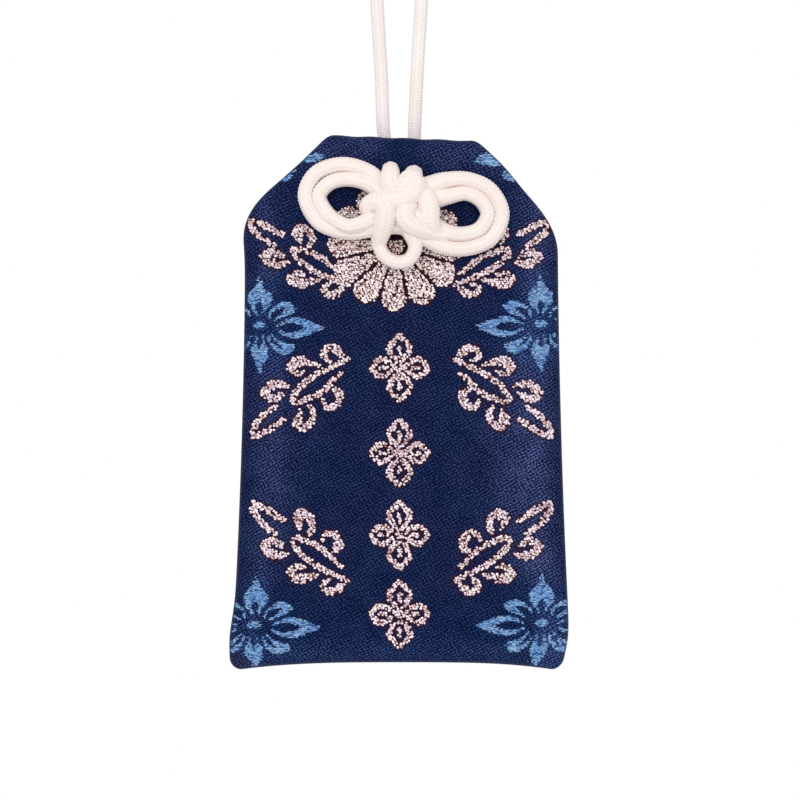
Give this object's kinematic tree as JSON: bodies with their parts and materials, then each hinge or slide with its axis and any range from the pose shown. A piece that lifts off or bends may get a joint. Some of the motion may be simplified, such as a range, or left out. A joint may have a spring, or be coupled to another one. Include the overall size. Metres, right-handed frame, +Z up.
{
  "type": "omamori charm",
  "caption": "Flat padded brocade amulet pouch with bevelled shoulders, closed by a double-eared cord knot and hung from its knotted cord loop; holds a wrapped wooden tablet.",
  "frame": {"origin": "inside top of the cord loop, where a hook or strap carries the charm", "axes": "+Z up along the hanging cord, +X to the viewer's right, +Y towards the back; the front with the knot faces -Y"},
  "size_m": [0.0484, 0.0173, 0.1484],
  "materials": {
    "cord": "white braided rayon cord with a faint pink cast",
    "brocade": "navy satin brocade with woven blue and rose-gold lame motifs",
    "interlining": "off-white non-woven fleece",
    "card": "matt grey board",
    "washi": "matt white paper",
    "cypress": "plain planed cypress"
  },
  "bodies": {
    "hanging_cord": {"left_hanging_cord": "cord", "right_hanging_cord": "cord"},
    "pouch": {"front_panel": "brocade", "back_panel": "brocade", "front_interlining": "interlining", "back_interlining": "interlining", "stiffener_card": "card", "knot_cord": "cord"},
    "packet": {"paper_wrapper": "washi", "amulet_tablet": "cypress"}
  },
  "joints": [
    {"name": "pouch_swing", "type": "hinge", "parent": "hanging_cord", "child": "pouch", "pos_m": [0, 0, -0.06075], "axis": [1, 0, 0], "range_deg": [-6, 150]},
    {"name": "packet_slide", "type": "slide", "parent": "pouch", "child": "packet", "axis": [0, 0, 1], "range_m": [0, 0.0025]}
  ]
}
